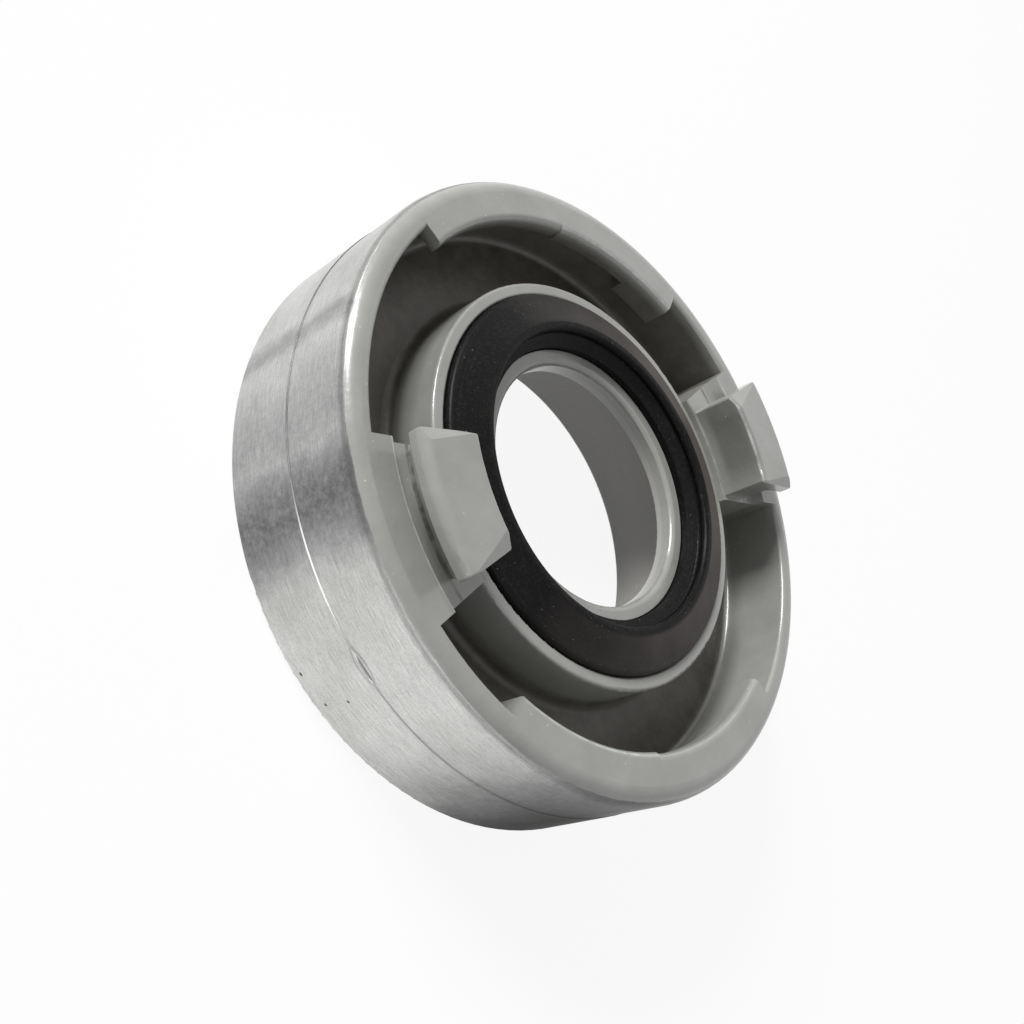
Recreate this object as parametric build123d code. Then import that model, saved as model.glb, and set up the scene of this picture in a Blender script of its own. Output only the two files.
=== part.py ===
"""Quarter turn fire hose coupling half with two claws, and its sealing ring.

Millimetres. The origin is the centre of the flat back face, +Z is the coupling's
axis and points out of the claw side. The claws stand on the Y axis.
"""
import math
import os

from build123d import *

# The standard size that two halves share: half the distance between the claws' inner faces
CLAW_INNER_R = 33.0

# Ring: the drum round the outside, turned in two settings that meet at a fine step
RING_BEYOND_CLAWS = 16.0
REAR_STEP = 0.12
STEP_HEIGHT = 13.3
RING_HEIGHT = 26.0
RING_WALL = 4.0
FRONT_BEAD_R = 2.6
FRONT_INNER_EDGE_R = 0.7
BACK_EDGE_R = 0.5

# Channel between the ring and the nozzle, where the mating claws turn
CHANNEL_DEPTH = 12.2
CHANNEL_ROOT_R = 1.6

# Nozzle: the tube in the middle that carries the sealing ring, inside the mating claws
NOZZLE_CLAW_CLEARANCE = 0.5
NOZZLE_BELOW_RING = 2.6
NOZZLE_RIM = 2.1
NOZZLE_EDGE_R = 0.5

# Seat of the sealing ring: a pocket with a raised inner lip round the waterway
WATERWAY_R = 19.4
SEAT_DEPTH = 2.2
SEAT_LIP_WIDTH = 2.3
SEAT_LIP_HEIGHT = 1.1
SEAT_LIP_EDGE_R = 0.9
SEAT_PLATE = 2.2
PLATE_EDGE_R = 0.3

# Socket in the back for the pipe
SOCKET_WALL = 2.0
SOCKET_MOUTH_CHAMFER = 0.6

# Claws: two, half a turn apart, each on a bridge from the nozzle to the ring
CLAW_COUNT = 2
CLAW_NECK_CLEARANCE = 3.6
CLAW_UNDER_FLANGE = 0.7
CLAW_PLAY = 0.2
CLAW_LIP = 3.1
CLAW_SPAN = 27.0
CLAW_NECK_ROOT_R = 0.8
CLAW_NOSE_SLOPE = 2.6
CLAW_NOSE_DROP = 1.1
CLAW_HEEL_SLOPE = 2.2
CLAW_HEEL_DROP = 0.9
CLAW_RIDGE_R = 1.5
CLAW_EDGE_R = 0.4
CLAW_END_EDGE_R = 0.35

BRIDGE_LEAD = 1.0
BRIDGE_TAIL = 4.5
BRIDGE_BELOW_RING = 1.7
BRIDGE_STEP_WIDTH = 3.0
BRIDGE_STEP_SLOPE = 1.2
BRIDGE_EDGE_R = 0.3

# Flange: two inward sectors of the ring with a rising underside, and a stop at one end
FLANGE_WIDTH = 3.2
FLANGE_FROM_CLAW = 38.5
FLANGE_SPAN = 79.0
FLANGE_THICKNESS = 3.0
FLANGE_RISE = 0.7
FLANGE_EDGE_R = 1.1
SHOULDER_SPAN = 37.0
SHOULDER_HEIGHT = 0.3
STOP_SPAN = 13.0
STOP_DEPTH = 5.3

# Sealing ring of rubber
SEAL_SIDE_CLEARANCE = 0.1
SEAL_LIP_CLEARANCE = 0.2
SEAL_SETBACK = 3.0
SEAL_ABOVE_RING = 0.2
SEAL_OUTER_DROP = 2.1
SEAL_CROWN_WIDTH = 2.4
SEAL_OUTER_EDGE_R = 0.9
SEAL_CROWN_EDGE_R = 0.7
SEAL_GROOVE_DEPTH = 1.5
SEAL_GROOVE_EDGE_R = 0.5
SEAL_FOOT = 0.9

# What follows from the sizes above
RING_OUTER_R = CLAW_INNER_R + RING_BEYOND_CLAWS
REAR_OUTER_R = RING_OUTER_R + REAR_STEP
RING_INNER_R = RING_OUTER_R - RING_WALL
CHANNEL_FLOOR = RING_HEIGHT - CHANNEL_DEPTH
NOZZLE_OUTER_R = CLAW_INNER_R - NOZZLE_CLAW_CLEARANCE
NOZZLE_TOP = RING_HEIGHT - NOZZLE_BELOW_RING
SEAT_R = NOZZLE_OUTER_R - NOZZLE_RIM
SEAT_FLOOR = NOZZLE_TOP - SEAT_DEPTH
SEAT_LIP_R = WATERWAY_R + SEAT_LIP_WIDTH
SEAT_LIP_TOP = SEAT_FLOOR + SEAT_LIP_HEIGHT
SOCKET_R = NOZZLE_OUTER_R - SOCKET_WALL
SOCKET_DEPTH = SEAT_FLOOR - SEAT_PLATE
FLANGE_INNER_R = RING_INNER_R - FLANGE_WIDTH
SEAL_INNER_R = WATERWAY_R + SEAL_SETBACK
RIM_FLAT_R = (RING_INNER_R + FRONT_INNER_EDGE_R + RING_OUTER_R - FRONT_BEAD_R) / 2
BRIDGE_TOP = RING_HEIGHT - BRIDGE_BELOW_RING
BRIDGE_STEP_R = RING_INNER_R - BRIDGE_STEP_WIDTH
CLAW_NECK_R = FLANGE_INNER_R - CLAW_NECK_CLEARANCE
CLAW_OUTER_R = FLANGE_INNER_R + CLAW_UNDER_FLANGE
CLAW_LIP_BOTTOM = RING_HEIGHT + FLANGE_THICKNESS + CLAW_PLAY
CLAW_TOP = CLAW_LIP_BOTTOM + CLAW_LIP
CLAW_PITCH = 360.0 / CLAW_COUNT
FIRST_CLAW = -90.0
INTO = 1.0


def turned(points, radii, start=0.0, span=360.0):
    """Turn a closed outline of (radius, height) points, with rounded corners, about the axis."""
    line = FilletPolyline(*[(r, 0, z) for r, z in points], radius=radii, close=True)
    return Rot(0, 0, start) * revolve(make_face(line), Axis.Z, span)


def ring_and_nozzle():
    """The round casting: drum, channel, nozzle, seat, waterway and socket in one outline."""
    corners = [
        (SOCKET_R + SOCKET_MOUTH_CHAMFER, 0, 0),
        (REAR_OUTER_R, 0, BACK_EDGE_R),
        (REAR_OUTER_R, STEP_HEIGHT, 0),
        (RING_OUTER_R, STEP_HEIGHT + REAR_OUTER_R - RING_OUTER_R, 0),
        (RING_OUTER_R, RING_HEIGHT, FRONT_BEAD_R),
        (RING_INNER_R, RING_HEIGHT, FRONT_INNER_EDGE_R),
        (RING_INNER_R, CHANNEL_FLOOR, CHANNEL_ROOT_R),
        (NOZZLE_OUTER_R, CHANNEL_FLOOR, CHANNEL_ROOT_R),
        (NOZZLE_OUTER_R, NOZZLE_TOP, NOZZLE_EDGE_R),
        (SEAT_R, NOZZLE_TOP, NOZZLE_EDGE_R),
        (SEAT_R, SEAT_FLOOR, 0),
        (SEAT_LIP_R, SEAT_FLOOR, 0),
        (SEAT_LIP_R, SEAT_LIP_TOP, 0),
        (WATERWAY_R, SEAT_LIP_TOP, SEAT_LIP_EDGE_R),
        (WATERWAY_R, SOCKET_DEPTH, PLATE_EDGE_R),
        (SOCKET_R, SOCKET_DEPTH, 0),
        (SOCKET_R, SOCKET_MOUTH_CHAMFER, 0),
    ]
    return turned([(r, z) for r, z, _ in corners], [edge for _, _, edge in corners])


def bridge(centre):
    """The block that joins nozzle and ring under one claw, stepped up to the ring's face."""
    corners = [
        (NOZZLE_OUTER_R - INTO, CHANNEL_FLOOR - INTO, 0),
        (RIM_FLAT_R, CHANNEL_FLOOR - INTO, 0),
        (RIM_FLAT_R, RING_HEIGHT, 0),
        (BRIDGE_STEP_R, RING_HEIGHT, BRIDGE_EDGE_R),
        (BRIDGE_STEP_R - BRIDGE_STEP_SLOPE, BRIDGE_TOP, BRIDGE_EDGE_R),
        (NOZZLE_OUTER_R, BRIDGE_TOP, BRIDGE_EDGE_R),
        (NOZZLE_OUTER_R, NOZZLE_TOP - NOZZLE_EDGE_R, 0),
        (NOZZLE_OUTER_R - INTO, NOZZLE_TOP - NOZZLE_EDGE_R, 0),
    ]
    span = BRIDGE_LEAD + CLAW_SPAN + BRIDGE_TAIL
    start = centre - CLAW_SPAN / 2 - BRIDGE_LEAD
    return turned([(r, z) for r, z, _ in corners], [edge for _, _, edge in corners], start, span)


def claw(centre):
    """One claw: a neck that carries a lip turned outwards, with a facet on its nose and on its heel."""
    corners = [
        (CLAW_INNER_R, BRIDGE_TOP - INTO, 0),
        (CLAW_NECK_R, BRIDGE_TOP - INTO, 0),
        (CLAW_NECK_R, CLAW_LIP_BOTTOM, CLAW_NECK_ROOT_R),
        (CLAW_OUTER_R, CLAW_LIP_BOTTOM, CLAW_EDGE_R),
        (CLAW_OUTER_R, CLAW_TOP, CLAW_RIDGE_R),
        (CLAW_INNER_R, CLAW_TOP, CLAW_EDGE_R),
    ]
    start = centre - CLAW_SPAN / 2
    body = turned([(r, z) for r, z, _ in corners], [edge for _, _, edge in corners], start, CLAW_SPAN)
    end = start + CLAW_SPAN
    body = soften_claw_ends(body, (start, end))
    body -= claw_corner_cut(start, 1, CLAW_INNER_R, CLAW_OUTER_R, CLAW_HEEL_SLOPE, CLAW_HEEL_DROP)
    body -= claw_corner_cut(end, -1, CLAW_OUTER_R, CLAW_INNER_R, CLAW_NOSE_SLOPE, CLAW_NOSE_DROP)
    return body


def claw_corner_cut(angle, side, from_r, to_r, slope, drop):
    """The block above a flat facet across one corner of a claw's top, which widens from from_r to to_r."""
    start = Vector(from_r, 0, CLAW_TOP)
    along_end = Vector(to_r, 0, CLAW_TOP - drop) - start
    across_top = Vector(to_r, side * slope, CLAW_TOP) - start
    up = along_end.cross(across_top)
    if up.Z < 0:
        up = -up
    facet = Plane(origin=start, x_dir=along_end, z_dir=up)
    block = Box(2 * CLAW_OUTER_R, 2 * CLAW_OUTER_R, CLAW_LIP, align=(Align.CENTER, Align.CENTER, Align.MIN))
    return Rot(0, 0, angle) * (facet * block)


def soften_claw_ends(body, angles):
    """Round the edges of a claw's two end faces, as far as they stand clear of the bridge."""
    edges = []
    for angle in angles:
        turn = math.radians(angle)
        across = Vector(-math.sin(turn), math.cos(turn), 0)
        for edge in body.edges():
            middle = edge.position_at(0.5)
            if abs(middle.dot(across)) < 0.01 and middle.Z > CLAW_LIP_BOTTOM:
                edges.append(edge)
    return fillet(edges, CLAW_END_EDGE_R)


def flange(claw_centre):
    """One inward sector of the ring, with its stop and its rising underside."""
    start = claw_centre + FLANGE_FROM_CLAW
    thin = FLANGE_THICKNESS - FLANGE_RISE
    plate = flange_plate(start, FLANGE_SPAN, FLANGE_INNER_R, FLANGE_THICKNESS)
    plate -= flange_rise(start, thin)
    shoulder = flange_plate(start, SHOULDER_SPAN, FLANGE_INNER_R - SHOULDER_HEIGHT, FLANGE_THICKNESS)
    stop = flange_plate(start, STOP_SPAN, FLANGE_INNER_R - SHOULDER_HEIGHT, STOP_DEPTH)
    return plate + shoulder + stop


def flange_plate(start, span, inner_r, thickness):
    """A sector with a rounded inner top edge, which reaches to the flat of the ring's rim."""
    corners = [
        (inner_r, RING_HEIGHT - thickness, 0),
        (RIM_FLAT_R, RING_HEIGHT - thickness, 0),
        (RIM_FLAT_R, RING_HEIGHT, 0),
        (inner_r, RING_HEIGHT, FLANGE_EDGE_R),
    ]
    return turned([(r, z) for r, z, _ in corners], [edge for _, _, edge in corners], start, span)


def flange_rise(start, thin):
    """The wedge under a flange sector that makes it thinner towards its open end."""
    middle = FLANGE_SPAN / 2
    half_chord = RING_INNER_R * math.sin(math.radians(middle))
    slope = math.degrees(math.atan2(FLANGE_RISE, 2 * half_chord))
    depth = FLANGE_THICKNESS + INTO
    block = Box(RING_INNER_R, 2 * half_chord + 2 * INTO, depth, align=(Align.MIN, Align.CENTER, Align.MAX))
    height = RING_HEIGHT - thin - FLANGE_RISE / 2
    return Rot(0, 0, start + middle) * Pos(RING_INNER_R / 2, 0, height) * Rot(slope, 0, 0) * block


def coupling_body():
    """The whole casting: ring and nozzle with the bridges, claws and flange sectors on it."""
    body = ring_and_nozzle()
    for turn in range(CLAW_COUNT):
        centre = FIRST_CLAW + turn * CLAW_PITCH
        body = body + bridge(centre) + claw(centre) + flange(centre)
    return body


def sealing_ring():
    """The rubber ring in the nozzle's seat, with a raised crown and a pressure groove inside."""
    outer = SEAT_R - SEAL_SIDE_CLEARANCE
    inner = SEAT_LIP_R + SEAL_LIP_CLEARANCE
    crown = RING_HEIGHT + SEAL_ABOVE_RING
    outer_top = crown - SEAL_OUTER_DROP
    crown_r = SEAL_INNER_R + SEAL_CROWN_WIDTH
    groove_r = SEAL_INNER_R + SEAL_GROOVE_DEPTH
    foot_top = SEAT_LIP_TOP + SEAL_LIP_CLEARANCE + SEAL_FOOT
    corners = [
        (inner, SEAT_FLOOR, 0),
        (outer, SEAT_FLOOR, 0),
        (outer, outer_top, SEAL_OUTER_EDGE_R),
        (crown_r, crown, SEAL_CROWN_EDGE_R),
        (SEAL_INNER_R, crown, SEAL_CROWN_EDGE_R),
        (groove_r, (crown + foot_top) / 2, SEAL_GROOVE_EDGE_R),
        (inner, foot_top, 0),
    ]
    return turned([(r, z) for r, z, _ in corners], [edge for _, _, edge in corners])


def main():
    os.makedirs("parts", exist_ok=True)
    parts = {"coupling_body": coupling_body(), "sealing_ring": sealing_ring()}
    for node, solid in parts.items():
        export_step(solid, f"parts/{node}.step")
        print(node, round(solid.volume), "mm3", len(solid.solids()), "solid", solid.is_valid)


main()
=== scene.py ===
"""Looks of a quarter turn fire hose coupling half: coated casting, turned outside, rubber ring.

Metres, in the model's own frame: the origin is the centre of the back face and +Z is the
coupling's axis. Angles are in degrees, from +X. Both pieces keep their solids' meshes, and
each material changes with place on its piece.
"""
import math
from collections import namedtuple

import bpy
from mathutils import Matrix, Vector


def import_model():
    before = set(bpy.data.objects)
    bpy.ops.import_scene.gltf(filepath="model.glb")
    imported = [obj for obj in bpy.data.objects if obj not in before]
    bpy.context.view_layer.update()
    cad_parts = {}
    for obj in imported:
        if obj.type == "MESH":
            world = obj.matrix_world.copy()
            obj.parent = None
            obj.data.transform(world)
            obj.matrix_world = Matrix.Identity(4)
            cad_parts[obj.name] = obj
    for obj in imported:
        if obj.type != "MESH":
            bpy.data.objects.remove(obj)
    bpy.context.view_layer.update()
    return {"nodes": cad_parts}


MM = 0.001

# Camera: its place, what points right and down in its picture, and its lens and sensor in mm
CAMERA_AT = (0.0173, -0.1459, 0.1326)
CAMERA_RIGHT = (0.3225, 0.6445, 0.6932)
CAMERA_DOWN = (0.9421, -0.1473, -0.3013)
CAMERA_LENS = 42.19
SENSOR_WIDTH = 36.0
CAMERA_CLIP = 0.01

# Lamps: direction towards the lamp, distance, side and watts; and the light all round
LAMPS = {
    "key": ((-0.85, -0.29, 0.50), 1.6, 0.5, 31.0),
    "fill": ((0.50, -0.90, 0.60), 1.6, 0.9, 2.0),
}
LAMP_AIM = (0, 0, 0.015)
SKY_STRENGTH = 0.38

# Floor: just under the back face, pale to the light and nearly white to the camera
FLOOR_R = 1.2
FLOOR_SIDES = 96
FLOOR_Z = -0.0001
FLOOR = (0.85, 0.85, 0.85)
FLOOR_WHITE = 0.9

# Where the casting's finish changes from coat to bare metal
COAT_EDGE_R = 48.3 * MM
COAT_EDGE_BLUR = 0.15 * MM
COAT_EDGE_SWAY = 0.12 * MM
BACK_FACE_DEPTH = 0.4 * MM
BACK_FACE_FADE_TO = 0.6 * MM

# Painted shade in the channel: on its floor, and on one side of the ring's inner wall
CHANNEL_INNER_R = 32.4 * MM
CHANNEL_OUTER_R = 44.2 * MM
CHANNEL_BLUR = 0.3 * MM
CHANNEL_TOP = 17.5 * MM
CHANNEL_FADE = 3.0 * MM
WALL_INNER_R = 41.3 * MM
WALL_OUTER_R = 45.6 * MM
WALL_BLUR = 0.2 * MM
WALL_TOP = 25.4 * MM
WALL_FADE = 2.0 * MM
SHADED_WALL_ANGLE = 150.0
SHADED_WALL_SHARE = 0.8

# The socket's wall in the back
SOCKET_R = 30.9 * MM
SOCKET_BLUR = 0.1 * MM
SOCKET_TOP = 20.5 * MM
SOCKET_FADE = 0.5 * MM

# Painted shade on the far claw's inner face: limits, and a band of angle, half width and depth
CLAW_SHADE_R = 34.3 * MM
CLAW_SHADE_BLUR = 0.5 * MM
CLAW_SHADE_FROM_Z = 25.0 * MM
CLAW_SHADE_TO_Z = 26.6 * MM
CLAW_SHADE_BANDS = ((91.0, 19.0, 1.5),)
CLAW_SHADE_SWAY = 0.05
CLAW_SHADE_SHARE = 0.72

# Colours, as linear RGB
COAT = (0.30, 0.305, 0.288)
COAT_DARK = (0.25, 0.252, 0.236)
COAT_SPECK = (0.62, 0.64, 0.62)
# Painted shade for the channel
CHANNEL_SHADE = (0.10, 0.09, 0.075)
CHANNEL_SHADE_DARK = (0.055, 0.05, 0.042)
SOCKET = (0.33, 0.325, 0.31)
# Painted shade for the far claw's inner face
PAINTED_CLAW_SHADE = (0.13, 0.13, 0.12)
# Painted highlight for thin lines along edges
PAINTED_EDGE_HIGHLIGHT = (0.62, 0.63, 0.61)
# Painted shade for thin lines in creases and under the claws' lips
PAINTED_CREASE_SHADE = (0.085, 0.085, 0.07)
BARE_METAL = (0.76, 0.76, 0.74)
BARE_STAIN = (0.63, 0.63, 0.61)
# Tint at the edges of the painted dark reflection bands
REFLECTION_EDGE_TINT = (0.44, 0.44, 0.465)
# Dark for turned lines and speckle, and for painted shade and painted dark reflection
METAL_DARK_MARKS_AND_SHADE = (0.11, 0.107, 0.11)
# Matt near-black, laid over the outside as painted dark reflection and painted shade
PAINTED_MATT_REFLECTION = (0.062, 0.06, 0.058)
# Painted glint on the turned step's line
PAINTED_STEP_GLINT = (0.9, 0.9, 0.88)
PIT = (0.10, 0.09, 0.08)
RUBBER = (0.005, 0.0048, 0.0048)
# Brownish bloom: wear and painted sheen
RUBBER_WEAR_AND_SHEEN = (0.11, 0.097, 0.09)
RUBBER_MARK = (0.045, 0.042, 0.04)
DUST = (0.30, 0.29, 0.27)

# Thin lines of painted highlight along edges and painted shade in creases, in mm: inner and outer
# radius, lowest and highest height, shade, share
PAINTED_LIGHT_LINES = (
    (41.85, 42.25, 25.75, 26.2, PAINTED_EDGE_HIGHLIGHT, 0.55),
    (32.9, 33.3, 31.9, 32.5, PAINTED_EDGE_HIGHLIGHT, 0.5),
    (38.1, 38.7, 24.2, 24.7, PAINTED_CREASE_SHADE, 0.9),
    (37.9, 38.35, 28.2, 29.2, PAINTED_CREASE_SHADE, 0.6),
    (32.4, 32.9, 24.0, 24.5, PAINTED_CREASE_SHADE, 0.5),
)
PAINTED_LINE_BLUR = 0.12 * MM
SPECK_SHARE = 0.5

# Noises: scale, detail and roughness
COAT_CLOUD = (90, 3, 0.6)
COAT_RIPPLE = (260, 3, 0.55)
COAT_GRAIN = (1900, 2, 0.6)
COAT_LINE_BREAKS = (520, 3, 0.6)
COAT_EDGE_NOISE = (420, 2, 0.5)
CHANNEL_CLOUD = (260, 4, 0.65)
TURNED_LINES = (8000, 2, 0.7)
METAL_SPECKLE = (3000, 3, 0.7)
METAL_MOTTLE = (1100, 3, 0.7)
METAL_STAIN = (70, 4, 0.6)
BAND_NOISE = (130, 3, 0.6)
RUBBER_RINGS = (3800, 2, 0.6)
RUBBER_BLOOM = (45, 3, 0.6)
RUBBER_MARKS = (160, 3, 0.6)
RUBBER_GRAIN = (2200, 3, 0.7)
RUBBER_RELIEF = (1500, 3, 0.6)
DUST_PATCHES = (120, 2, 0.5)

# Scattered points: scale, and the distances at which a dot stops being full and ends
COAT_SPECKS = (380, 0.035, 0.065)
DUST_SPECKS = (1100, 0.06, 0.12)

# The range over which a noise, the way a place faces or a band's depth goes from none to
# full; where two more numbers follow, they are the shares at the range's two ends
COAT_CLOUD_RANGE = (0.35, 0.7)
COAT_SHINE_RANGE = (0.3, 0.7)
COAT_BREAKS_RANGE = (0.38, 0.62, 0.25, 1.0)
SHADED_WALL_RANGE = (0.0, 0.5)
CHANNEL_RANGE = (0.35, 0.65)
METAL_STAIN_RANGE = (0.4, 0.7)
METAL_SHINE_RANGE = (0.3, 0.7)
METAL_MOTTLE_RANGE = (0.3, 0.65, 0.66, 1.0)
METAL_SPECKLE_RANGE = (0.45, 0.7)
REFLECTION_TINT_RANGE = (0.05, 0.5)
TURNED_LINES_RANGE = (0.35, 0.7)
WEAR_AND_SHEEN_RANGE = (-0.6, 0.7)
RUBBER_BLOOM_RANGE = (0.3, 0.62, 0.35, 1.0)
RUBBER_RINGS_RANGE = (0.5, 0.7)
RUBBER_MARKS_RANGE = (0.42, 0.62)
RUBBER_GRAIN_RANGE = (0.5, 0.72)
DUST_PATCHES_RANGE = (0.45, 0.65)

# How far noise is drawn out round the axis, as metres for each radian
TURNED_STRETCH = 0.0016
RINGS_STRETCH = 0.0006

# Surfaces: roughness, gloss and bumps, each bump as its strength and depth
COAT_ROUGHNESS = (0.26, 0.36)
COAT_GLOSS = 0.45
COAT_GLOSS_ROUGHNESS = 0.14
COAT_RIPPLE_BUMP = (0.35, 0.3 * MM)
COAT_GRAIN_BUMP = (0.2, 0.08 * MM)
SPECK_HEIGHT = 2.0
CHANNEL_ROUGHNESS = 0.45
METAL_ROUGHNESS = (0.3, 0.42)
METAL_ANISOTROPY = 0.7
METAL_BUMP = (0.6, 0.25 * MM)
TURNED_LINE_HEIGHT = 0.1
DENT_DEPTH = 0.4
RUBBER_ROUGHNESS = (0.38, 0.55)
RUBBER_SPECULAR = 0.08
RUBBER_BUMP = (0.4, 0.09 * MM)

# Broad bands of painted dark reflection across the turned outside: angle, half width and how dark
PAINTED_REFLECTION_BANDS = (
    (-97.0, 14.0, 0.92),
    (-110.0, 17.0, 0.38),
    (-127.0, 4.5, 0.4),
    (-30.0, 24.0, 0.6),
    (22.0, 12.0, 0.45),
    (68.0, 16.0, 0.6),
    (112.0, 10.0, 0.5),
    (155.0, 14.0, 0.55),
)
BAND_SWAY = 0.07
REFLECTION_TINT_SHARE = 0.5
TURNED_LINE_SHARE = 0.4
SPECKLE_SHARE = 0.22

# Where the outside gets a matt near-black as painted dark reflection: angle, half width and share,
# and how it fades upwards
PAINTED_MATT_BANDS = ((-22.0, 38.0, 0.9), (158.0, 26.0, 0.5))
MATT_REFLECTION_FADE_FROM = 12.0 * MM
MATT_REFLECTION_FADE_TO = 25.0 * MM
MATT_REFLECTION_LEFT = 0.65

# The fine step between the outside's two turned bands: a painted glint round one angle, and painted
# shade on its line, strongest round another
TURNED_STEP_Z = 13.36 * MM
TURNED_STEP_BLUR = 0.15 * MM
STEP_GLINT = ((-88.0, 16.0, 1.0),)
STEP_MATT_SHADE = ((-140.0, 60.0, 1.6),)
STEP_MATT_SHADE_LEAST = 0.3
STEP_MATT_SHADE_MOST = 0.9
STEP_SHADE_SHARE = 0.4
STEP_GLINT_SHARE = 0.8

# The bead beside the coat's edge, where painted shade makes the bare metal darker and matt
BEAD_R = 48.95 * MM
BEAD_BLUR = 0.3 * MM
BEAD_SHADE_SHARE = 0.3
BEAD_MATT_SHADE_SHARE = 0.3

# Small marks on the outside, in mm: angle, height, half length round the drum, half width
OUTSIDE_R = 49.0
PITS = ((-73.6, 1.7, 0.32, 0.22), (-67.5, 2.5, 0.26, 0.2), (-66.8, 6.9, 0.24, 0.2))
DENT = (-71.4, 13.45, 3.0, 0.95)
DENT_FLOOR = (-71.4, 13.45, 2.7, 0.72)
DENT_STREAK = (-70.9, 13.5, 2.1, 0.24)
DENT_FLOOR_SHARE = 0.75
# The dent's darker rim is painted shade
DENT_RIM_SHADE_SHARE = 0.5
DENT_STREAK_SHARE = 0.65
SPOT_FULL = 0.75
SPOT_END = 1.1

# The sealing ring: its crown's edge, the side with the most wear and painted sheen, and its marks'
# shares
RUBBER_CROWN_R = 24.6 * MM
RUBBER_CROWN_BLUR = 0.8 * MM
WEAR_AND_SHEEN_ANGLE = 70.0
RUBBER_MARK_SHARE = 0.2
RUBBER_GRAIN_SHARE = 0.3
DUST_SHARE = 0.5

Place = namedtuple("Place", "where radius z angle")


class Shader:
    """A short way to write shader nodes: most calls add a node or two and return the output."""

    def __init__(self, tree):
        self.tree = tree
        self.links = tree.links
        tree.nodes.clear()

    def node(self, kind, **settings):
        made = self.tree.nodes.new(kind)
        for key, value in settings.items():
            setattr(made, key, value)
        return made

    def put(self, socket, value):
        """Link an output to a socket, or set a number on it; None leaves it alone."""
        if isinstance(value, bpy.types.NodeSocket):
            self.links.new(value, socket)
        elif value is not None:
            socket.default_value = value

    def math(self, operation, a, b=None):
        made = self.node("ShaderNodeMath", operation=operation)
        self.put(made.inputs[0], a)
        self.put(made.inputs[1], b)
        return made.outputs[0]

    def times(self, first, *others):
        for other in others:
            first = self.math("MULTIPLY", first, other)
        return first

    def largest(self, first, *others):
        for other in others:
            first = self.math("MAXIMUM", first, other)
        return first

    def inverse(self, value):
        """1 minus a value."""
        return self.math("SUBTRACT", 1.0, value)

    def step(self, value, low, high):
        """0 below low, 1 above high, smooth between them."""
        made = self.node("ShaderNodeMapRange", interpolation_type="SMOOTHSTEP")
        self.put(made.inputs["Value"], value)
        made.inputs["From Min"].default_value = low
        made.inputs["From Max"].default_value = high
        return made.outputs["Result"]

    def below(self, value, limit, blur):
        """1 well below a limit and 0 above it."""
        return self.inverse(self.step(value, limit - blur, limit))

    def within(self, value, low, high, blur):
        """1 between two limits and 0 outside them, smooth over the blur at both."""
        return self.times(self.step(value, low - blur, low + blur),
                          self.below(value, high + blur, 2 * blur))

    def ramp(self, value, low, high, to_low=0.0, to_high=1.0):
        """A value between low and high, turned in proportion into one of another range."""
        made = self.node("ShaderNodeMapRange")
        self.put(made.inputs["Value"], value)
        made.inputs["From Min"].default_value = low
        made.inputs["From Max"].default_value = high
        made.inputs["To Min"].default_value = to_low
        made.inputs["To Max"].default_value = to_high
        return made.outputs["Result"]

    def sway(self, value, most):
        """A noise turned into a small shift either way."""
        return self.ramp(value, 0.0, 1.0, -most, most)

    def mix(self, factor, a, b):
        made = self.node("ShaderNodeMix", data_type="RGBA")
        self.put(made.inputs[0], factor)
        for socket, value in ((made.inputs[6], a), (made.inputs[7], b)):
            self.put(socket, (*value, 1) if isinstance(value, tuple) else value)
        return made.outputs[2]

    def cover(self, color, shade, *shares):
        """A colour with a shade laid over it, by the product of the shares."""
        return self.mix(self.times(*shares), color, shade)

    def noise(self, vector, scale, detail, roughness):
        made = self.node("ShaderNodeTexNoise")
        self.put(made.inputs["Vector"], vector)
        made.inputs["Scale"].default_value = scale
        made.inputs["Detail"].default_value = detail
        made.inputs["Roughness"].default_value = roughness
        return made.outputs["Fac"]

    def points(self, vector, scale, full, end):
        """1 in small dots round scattered points and 0 between them."""
        made = self.node("ShaderNodeTexVoronoi")
        self.put(made.inputs["Vector"], vector)
        made.inputs["Scale"].default_value = scale
        return self.inverse(self.step(made.outputs["Distance"], full, end))

    def vector(self, x, y, z):
        made = self.node("ShaderNodeCombineXYZ")
        for socket, value in zip(made.inputs, (x, y, z)):
            self.put(socket, value)
        return made.outputs[0]

    def place(self):
        """Object position, and the radius, height and angle that follow from it."""
        where = self.node("ShaderNodeTexCoord").outputs["Object"]
        parts = self.node("ShaderNodeSeparateXYZ")
        self.links.new(where, parts.inputs[0])
        x, y, z = parts.outputs
        radius = self.math("SQRT", self.math("ADD", self.times(x, x), self.times(y, y)))
        return Place(where, radius, z, self.math("ARCTAN2", y, x))

    def facing(self, angle, side):
        """1 on the side at an angle, -1 on the opposite one."""
        return self.math("COSINE", self.math("SUBTRACT", angle, math.radians(side)))

    def spot(self, at, at_angle, at_height, half_length, half_width):
        """1 inside an ellipse on the drum's outside and 0 round it; sizes in millimetres."""
        off = self.math("SUBTRACT", at.angle, math.radians(at_angle))
        along = self.times(off, OUTSIDE_R / half_length)
        up = self.math("DIVIDE", self.math("SUBTRACT", at.z, at_height * MM), half_width * MM)
        far = self.math("SQRT", self.math("ADD", self.times(along, along), self.times(up, up)))
        return self.inverse(self.step(far, SPOT_FULL, SPOT_END))

    def bands(self, angle, wobble, rows):
        """Soft-edged bands round the axis; each row has an angle, a half width and a depth."""
        swayed = self.math("ADD", angle, wobble)
        made = []
        for centre, half_width, depth in rows:
            off = self.math("ABSOLUTE", self.math("SUBTRACT", swayed, math.radians(centre)))
            reach = math.radians(half_width)
            made.append(self.times(self.below(off, reach, reach), depth))
        return self.largest(*made)

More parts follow.
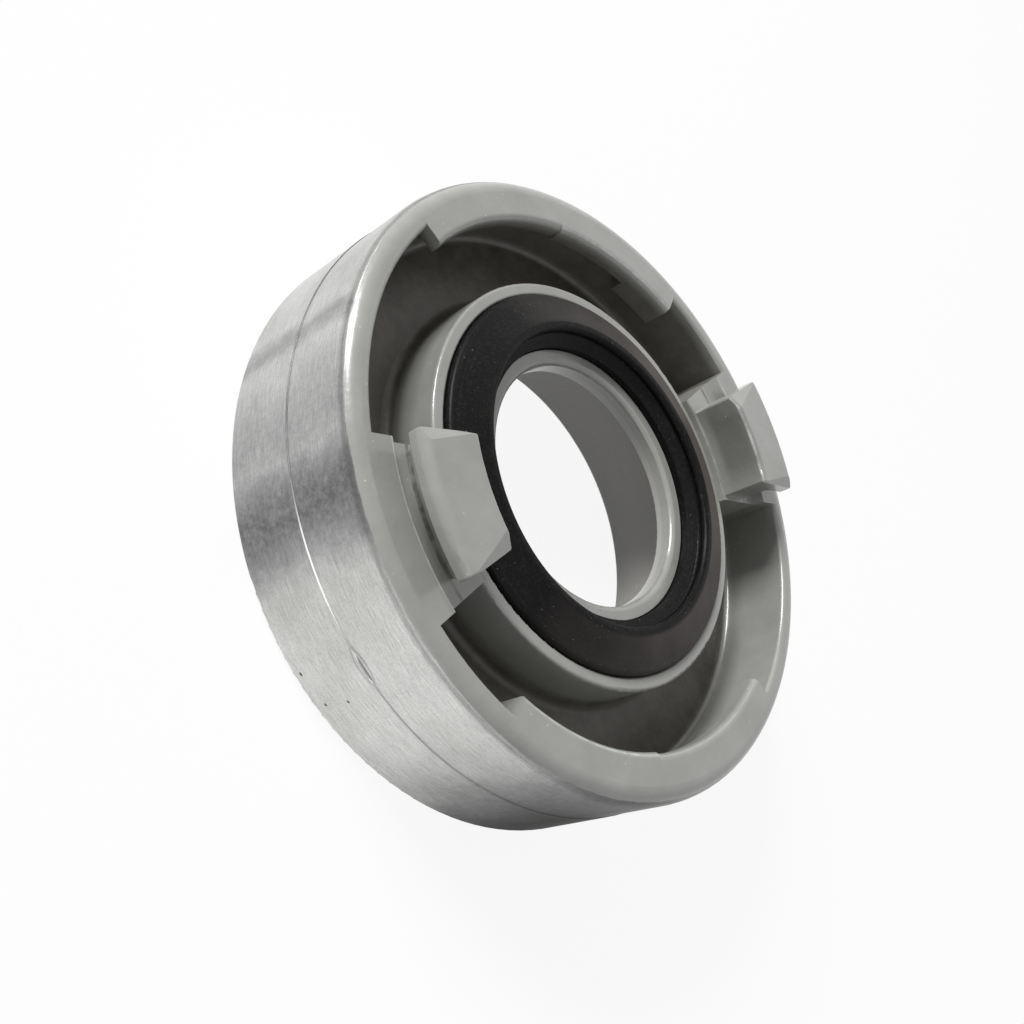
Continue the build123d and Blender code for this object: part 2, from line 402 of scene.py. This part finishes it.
    def seen(self):
        """1 for a ray from the camera, a reflection or a clear surface, and 0 for other light."""
        path = self.node("ShaderNodeLightPath")
        rays = ("Is Camera Ray", "Is Glossy Ray", "Is Transmission Ray")
        return self.largest(*[path.outputs[ray] for ray in rays])

    def bump(self, height, strength, distance, normal=None):
        made = self.node("ShaderNodeBump")
        made.inputs["Strength"].default_value = strength
        made.inputs["Distance"].default_value = distance
        self.put(made.inputs["Height"], height)
        self.put(made.inputs["Normal"], normal)
        return made.outputs["Normal"]

    def surface(self, color, roughness, normal=None, tangent=None, **plain):
        """A principled surface; plain numbers are named as its sockets, with _ for spaces."""
        made = self.node("ShaderNodeBsdfPrincipled")
        self.put(made.inputs["Base Color"], color)
        self.put(made.inputs["Roughness"], roughness)
        self.put(made.inputs["Normal"], normal)
        self.put(made.inputs["Tangent"], tangent)
        for name, value in plain.items():
            made.inputs[name.replace("_", " ")].default_value = value
        return made.outputs[0]

    def matt(self, color):
        made = self.node("ShaderNodeBsdfDiffuse")
        made.inputs["Color"].default_value = (*color, 1)
        return made.outputs[0]

    def blend(self, factor, a, b):
        made = self.node("ShaderNodeMixShader")
        self.put(made.inputs[0], factor)
        self.links.new(a, made.inputs[1])
        self.links.new(b, made.inputs[2])
        return made.outputs[0]

    def finish(self, surface, output="ShaderNodeOutputMaterial"):
        self.links.new(surface, self.node(output).inputs["Surface"])


def new_material(name):
    material = bpy.data.materials.new(name)
    material.use_nodes = True
    return material, Shader(material.node_tree)


def painted_channel_shade(s, at):
    """Where painted shade takes the coat's place: the channel's floor, and one side of the ring's
    inner wall.
    """
    floor = s.times(s.within(at.radius, CHANNEL_INNER_R, CHANNEL_OUTER_R, CHANNEL_BLUR),
                    s.below(at.z, CHANNEL_TOP, CHANNEL_FADE))
    wall = s.times(s.within(at.radius, WALL_INNER_R, WALL_OUTER_R, WALL_BLUR),
                   s.below(at.z, WALL_TOP, WALL_FADE))
    # Painted shade on one side of the ring's inner wall
    shaded_side = s.step(s.facing(at.angle, SHADED_WALL_ANGLE), *SHADED_WALL_RANGE)
    return s.largest(floor, s.times(wall, shaded_side, SHADED_WALL_SHARE))


def coat_color(s, at, cloud, specks):
    """Clouded grey with a lighter socket, painted shade on the far claw, thin lines of painted
    highlight and painted shade, and bright specks.
    """
    color = s.mix(s.ramp(cloud, *COAT_CLOUD_RANGE), COAT_DARK, COAT)
    socket = s.times(s.below(at.radius, SOCKET_R, SOCKET_BLUR),
                     s.below(at.z, SOCKET_TOP, SOCKET_FADE))
    color = s.cover(color, SOCKET, socket)
    # Painted shade on the far claw's inner face
    side = s.math("MINIMUM", s.bands(at.angle, s.sway(cloud, CLAW_SHADE_SWAY), CLAW_SHADE_BANDS), 1.0)
    face = s.times(s.below(at.radius, CLAW_SHADE_R, CLAW_SHADE_BLUR), s.step(at.z, CLAW_SHADE_FROM_Z, CLAW_SHADE_TO_Z))
    color = s.cover(color, PAINTED_CLAW_SHADE, side, face, CLAW_SHADE_SHARE)
    broken = s.ramp(s.noise(at.where, *COAT_LINE_BREAKS), *COAT_BREAKS_RANGE)
    # Thin lines of painted highlight along edges and painted shade in creases
    for inner_r, outer_r, low, high, shade, share in PAINTED_LIGHT_LINES:
        line = s.times(s.within(at.radius, inner_r * MM, outer_r * MM, PAINTED_LINE_BLUR),
                       s.within(at.z, low * MM, high * MM, PAINTED_LINE_BLUR))
        color = s.cover(color, shade, line, broken, share)
    return s.cover(color, COAT_SPECK, specks, SPECK_SHARE)


def coat(s, at):
    """Semi-gloss grey coat with slow ripples and small bumps, and a darker, rougher surface as
    painted shade in the channel.
    """
    cloud = s.noise(at.where, *COAT_CLOUD)
    specks = s.points(at.where, *COAT_SPECKS)
    ripple = s.bump(s.noise(at.where, *COAT_RIPPLE), *COAT_RIPPLE_BUMP)
    grain = s.math("ADD", s.noise(at.where, *COAT_GRAIN), s.times(specks, SPECK_HEIGHT))
    relief = s.bump(grain, *COAT_GRAIN_BUMP, ripple)
    roughness = s.ramp(cloud, *COAT_SHINE_RANGE, *COAT_ROUGHNESS)
    glossy = s.surface(coat_color(s, at, cloud, specks), roughness, relief,
                       Coat_Weight=COAT_GLOSS, Coat_Roughness=COAT_GLOSS_ROUGHNESS)
    # A darker, rougher surface: painted shade in the channel
    channel_shade_color = s.mix(s.ramp(s.noise(at.where, *CHANNEL_CLOUD), *CHANNEL_RANGE), CHANNEL_SHADE_DARK, CHANNEL_SHADE)
    return s.blend(painted_channel_shade(s, at), glossy, s.surface(channel_shade_color, CHANNEL_ROUGHNESS, relief))


def turned_color(s, at, stain, lines, wobble):
    """Bare metal with faint stains, broad bands of painted dark reflection with tinted edges,
    turned lines and speckle.
    """
    color = s.mix(s.ramp(stain, *METAL_STAIN_RANGE), BARE_METAL, BARE_STAIN)
    mottle = s.ramp(s.noise(at.where, *METAL_MOTTLE), *METAL_MOTTLE_RANGE)
    # Broad bands of painted dark reflection, with a tint at their edges
    dark = s.times(s.bands(at.angle, wobble, PAINTED_REFLECTION_BANDS), mottle)
    color = s.cover(color, REFLECTION_EDGE_TINT, s.step(dark, *REFLECTION_TINT_RANGE), REFLECTION_TINT_SHARE)
    color = s.cover(color, METAL_DARK_MARKS_AND_SHADE, dark)
    color = s.cover(color, METAL_DARK_MARKS_AND_SHADE, s.ramp(lines, *TURNED_LINES_RANGE), TURNED_LINE_SHARE)
    speckle = s.ramp(s.noise(at.where, *METAL_SPECKLE), *METAL_SPECKLE_RANGE)
    return s.cover(color, METAL_DARK_MARKS_AND_SHADE, speckle, SPECKLE_SHARE)


def step_line(s, at, wobble, dent):
    """The turned step's line, outside the dent: its part of painted shade and its part of painted
    glint.
    """
    off = s.math("ABSOLUTE", s.math("SUBTRACT", at.z, TURNED_STEP_Z))
    line = s.times(s.below(off, TURNED_STEP_BLUR, TURNED_STEP_BLUR / 2), s.inverse(dent))
    glint = s.bands(at.angle, wobble, STEP_GLINT)
    return s.times(line, s.inverse(glint)), s.times(line, glint)


def dented(s, at, color, dent):
    """A colour with painted shade round the dent's rim and the dark streak in it."""
    rim = s.math("SUBTRACT", dent, s.times(s.spot(at, *DENT_FLOOR), DENT_FLOOR_SHARE))
    # Painted shade round the dent's rim
    color = s.cover(color, METAL_DARK_MARKS_AND_SHADE, rim, DENT_RIM_SHADE_SHARE)
    return s.cover(color, METAL_DARK_MARKS_AND_SHADE, s.spot(at, *DENT_STREAK), DENT_STREAK_SHARE)


def painted_matt_share(s, at, wobble, dark_line, bead):
    """How much painted matt dark covers the outside: bands of painted dark reflection that fade
    upwards, painted shade on the step's dark line and on the bead.
    """
    fade = s.ramp(at.z, MATT_REFLECTION_FADE_FROM, MATT_REFLECTION_FADE_TO, 1.0, MATT_REFLECTION_LEFT)
    broad = s.times(s.bands(at.angle, wobble, PAINTED_MATT_BANDS), fade)
    on_line = s.math("MINIMUM", s.bands(at.angle, wobble, STEP_MATT_SHADE), STEP_MATT_SHADE_MOST)
    on_line = s.largest(on_line, STEP_MATT_SHADE_LEAST)
    return s.largest(broad, s.times(dark_line, on_line), s.times(bead, BEAD_MATT_SHADE_SHARE))


def bare_metal(s, at):
    """Fine-turned aluminium with a step line, painted shade on the bead, pits and one dent."""
    drawn_out = s.vector(s.times(at.angle, TURNED_STRETCH), at.radius, at.z)
    lines = s.noise(drawn_out, *TURNED_LINES)
    stain = s.noise(at.where, *METAL_STAIN)
    wobble = s.sway(s.noise(at.where, *BAND_NOISE), BAND_SWAY)
    pits = s.largest(*[s.spot(at, *pit) for pit in PITS])
    dent = s.spot(at, *DENT)
    dark_line, bright_line = step_line(s, at, wobble, dent)
    bead = s.below(at.radius, BEAD_R, BEAD_BLUR)
    color = turned_color(s, at, stain, lines, wobble)
    # Painted shade and a painted glint on the turned step's line
    color = s.cover(color, METAL_DARK_MARKS_AND_SHADE, dark_line, STEP_SHADE_SHARE)
    color = s.cover(color, PAINTED_STEP_GLINT, bright_line, STEP_GLINT_SHARE)
    # Painted shade on the bead
    color = s.cover(color, METAL_DARK_MARKS_AND_SHADE, bead, BEAD_SHADE_SHARE)
    color = s.cover(color, PIT, pits)
    color = dented(s, at, color, dent)
    hollows = s.math("ADD", pits, s.times(dent, DENT_DEPTH))
    relief = s.bump(s.math("SUBTRACT", s.times(lines, TURNED_LINE_HEIGHT), hollows), *METAL_BUMP)
    around = s.node("ShaderNodeTangent", direction_type="RADIAL", axis="Z").outputs[0]
    roughness = s.ramp(stain, *METAL_SHINE_RANGE, *METAL_ROUGHNESS)
    metal = s.surface(color, roughness, relief, around, Metallic=1.0, Anisotropic=METAL_ANISOTROPY)
    # Matt near-black laid over the metal as painted dark reflection and painted shade
    return s.blend(painted_matt_share(s, at, wobble, dark_line, bead), metal, s.matt(PAINTED_MATT_REFLECTION))


def casting_material():
    """Coat on the claw side and inside, bare turned metal on the drum's outside and back."""
    material, s = new_material("casting")
    at = s.place()
    edge = s.math("ADD", at.radius, s.sway(s.noise(at.where, *COAT_EDGE_NOISE), COAT_EDGE_SWAY))
    outside = s.step(edge, COAT_EDGE_R, COAT_EDGE_R + COAT_EDGE_BLUR)
    back = s.inverse(s.step(at.z, BACK_FACE_DEPTH, BACK_FACE_FADE_TO))
    s.finish(s.blend(s.largest(outside, back), coat(s, at), bare_metal(s, at)))
    return material


def rubber_color(s, at, rings, bloom):
    """Near-black with a brownish bloom of wear and painted sheen, faint moulding rings, grain and
    dust.
    """
    color = s.cover(RUBBER, RUBBER_WEAR_AND_SHEEN, bloom)
    patches = s.ramp(s.noise(at.where, *RUBBER_MARKS), *RUBBER_MARKS_RANGE)
    ring_marks = s.ramp(rings, *RUBBER_RINGS_RANGE)
    color = s.cover(color, RUBBER_MARK, ring_marks, patches, RUBBER_MARK_SHARE)
    grain = s.ramp(s.noise(at.where, *RUBBER_GRAIN), *RUBBER_GRAIN_RANGE)
    color = s.cover(color, RUBBER_MARK, grain, RUBBER_GRAIN_SHARE)
    dust = s.points(at.where, *DUST_SPECKS)
    dusty = s.ramp(s.noise(at.where, *DUST_PATCHES), *DUST_PATCHES_RANGE)
    return s.cover(color, DUST, dust, dusty, DUST_SHARE)


def rubber_material():
    """Matt rubber, with wear and painted sheen on one side of its face."""
    material, s = new_material("rubber")
    at = s.place()
    rings = s.noise(s.vector(at.radius, s.times(at.angle, RINGS_STRETCH), at.z), *RUBBER_RINGS)
    # One side's bloom is wear and painted sheen
    wear_and_sheen_side = s.ramp(s.facing(at.angle, WEAR_AND_SHEEN_ANGLE), *WEAR_AND_SHEEN_RANGE)
    cloud = s.ramp(s.noise(at.where, *RUBBER_BLOOM), *RUBBER_BLOOM_RANGE)
    outside_crown = s.step(at.radius, RUBBER_CROWN_R, RUBBER_CROWN_R + RUBBER_CROWN_BLUR)
    bloom = s.times(cloud, wear_and_sheen_side, outside_crown)
    relief = s.bump(s.math("ADD", rings, s.noise(at.where, *RUBBER_RELIEF)), *RUBBER_BUMP)
    roughness = s.ramp(bloom, 0.0, 1.0, *RUBBER_ROUGHNESS)
    s.finish(s.surface(rubber_color(s, at, rings, bloom), roughness, relief,
                       Specular_IOR_Level=RUBBER_SPECULAR))
    return material


def floor_material():
    """Pale floor, nearly white where the camera or a reflection sees it; it keeps its shadow."""
    material, s = new_material("floor")
    white = s.node("ShaderNodeEmission").outputs[0]
    s.finish(s.blend(s.times(s.seen(), FLOOR_WHITE), s.matt(FLOOR), white))
    return material


def add_floor():
    bpy.ops.mesh.primitive_circle_add(vertices=FLOOR_SIDES, radius=FLOOR_R, fill_type="NGON",
                                      location=(0, 0, FLOOR_Z))
    floor = bpy.context.object
    floor.name = "floor"
    floor.data.materials.append(floor_material())


def add_light(name, towards, distance, size, watts):
    """A square soft light that shines on the coupling from a direction."""
    data = bpy.data.lights.new(name, "AREA")
    data.size = size
    data.energy = watts
    light = bpy.data.objects.new(name, data)
    direction = Vector(towards).normalized()
    light.location = direction * distance + Vector(LAMP_AIM)
    light.rotation_euler = direction.to_track_quat("Z", "Y").to_euler()
    bpy.context.scene.collection.objects.link(light)


def add_world():
    """Soft light all round, which the camera and reflections see as plain white."""
    world = bpy.data.worlds.new("studio")
    bpy.context.scene.world = world
    world.use_nodes = True
    s = Shader(world.node_tree)
    skies = []
    for strength in (SKY_STRENGTH, 1.0):
        sky = s.node("ShaderNodeBackground")
        sky.inputs["Color"].default_value = (1, 1, 1, 1)
        sky.inputs["Strength"].default_value = strength
        skies.append(sky.outputs[0])
    s.finish(s.blend(s.seen(), *skies), "ShaderNodeOutputWorld")


def add_camera():
    data = bpy.data.cameras.new("camera")
    data.sensor_width = SENSOR_WIDTH
    data.lens = CAMERA_LENS
    data.clip_start = CAMERA_CLIP
    camera = bpy.data.objects.new("camera", data)
    right = Vector(CAMERA_RIGHT).normalized()
    down = Vector(CAMERA_DOWN)
    down = (down - right * down.dot(right)).normalized()
    towards_viewer = right.cross(-down)
    turn = Matrix((right, -down, towards_viewer)).transposed()
    camera.matrix_world = Matrix.Translation(Vector(CAMERA_AT)) @ turn.to_4x4()
    bpy.context.scene.collection.objects.link(camera)
    bpy.context.scene.camera = camera


def dress(node, material):
    """Give a CAD node its material."""
    node.data.materials.clear()
    node.data.materials.append(material)


def main():
    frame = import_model()
    bpy.context.scene.view_settings.view_transform = "Standard"
    dress(frame["nodes"]["coupling_body"], casting_material())
    dress(frame["nodes"]["sealing_ring"], rubber_material())
    add_floor()
    for name, lamp in LAMPS.items():
        add_light(name, *lamp)
    add_world()
    add_camera()


main()
